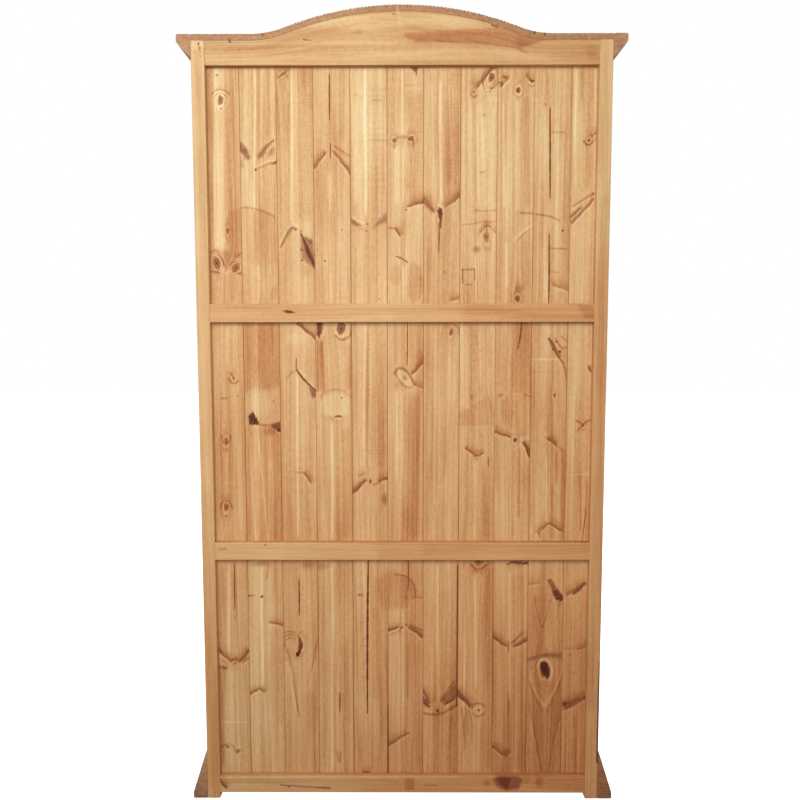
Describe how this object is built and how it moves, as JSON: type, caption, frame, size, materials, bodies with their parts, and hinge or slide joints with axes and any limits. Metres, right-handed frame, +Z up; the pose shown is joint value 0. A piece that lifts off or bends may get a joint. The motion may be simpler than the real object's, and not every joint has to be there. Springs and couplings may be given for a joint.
{
  "type": "bookcase",
  "caption": "Free-standing rustic pine bookcase with an arched ogee top, framed plank back and sides, fixed open shelves, and a crown and base moulding round the front and sides.",
  "frame": {"origin": "on the floor, in the middle of the bookcase's outline", "axes": "+Z up, the open front faces -Y, the boarded back faces +Y, +X to the right seen from the front"},
  "size_m": [1.072, 0.416, 1.96],
  "materials": {
    "frame_pine": "satin honey stain",
    "plank_pine": "satin honey stain",
    "shelf_pine": "satin honey stain",
    "roof_pine": "rough sawn, stained",
    "moulding_pine": "satin honey stain",
    "steel": "plain wire and bright zinc"
  },
  "bodies": {
    "root": {"back_bottom_rail": "frame_pine", "back_lower_rail": "frame_pine", "back_nails": "steel", "back_plank_01": "plank_pine", "back_plank_02": "plank_pine", "back_plank_03": "plank_pine", "back_plank_04": "plank_pine", "back_plank_05": "plank_pine", "back_plank_06": "plank_pine", "back_plank_07": "plank_pine", "back_plank_08": "plank_pine", "back_plank_09": "plank_pine", "back_plank_10": "plank_pine", "back_plank_11": "plank_pine", "back_top_rail": "frame_pine", "back_upper_rail": "frame_pine", "base_moulding_front": "moulding_pine", "base_moulding_left": "moulding_pine", "base_moulding_right": "moulding_pine", "bottom_shelf": "shelf_pine", "cleat_nails": "steel", "crown_moulding_front": "moulding_pine", "crown_moulding_left": "moulding_pine", "crown_moulding_right": "moulding_pine", "front_arch_rail": "frame_pine", "front_bottom_rail": "frame_pine", "front_post_left": "frame_pine", "front_post_right": "frame_pine", "front_stile_left": "frame_pine", "front_stile_right": "frame_pine", "rear_post_left": "frame_pine", "rear_post_right": "frame_pine", "roof_board_1": "roof_pine", "roof_board_2": "roof_pine", "roof_board_3": "roof_pine", "shelf_1": "shelf_pine", "shelf_2": "shelf_pine", "shelf_3": "shelf_pine", "shelf_4": "shelf_pine", "shelf_cleats_left": "shelf_pine", "shelf_cleats_right": "shelf_pine", "side_bottom_rail_left": "frame_pine", "side_bottom_rail_right": "frame_pine", "side_lower_rail_left": "frame_pine", "side_lower_rail_right": "frame_pine", "side_nails": "steel", "side_plank_left_1": "plank_pine", "side_plank_left_2": "plank_pine", "side_plank_left_3": "plank_pine", "side_plank_right_1": "plank_pine", "side_plank_right_2": "plank_pine", "side_plank_right_3": "plank_pine", "side_top_rail_left": "frame_pine", "side_top_rail_right": "frame_pine", "side_upper_rail_left": "frame_pine", "side_upper_rail_right": "frame_pine"}
  },
  "joints": []
}
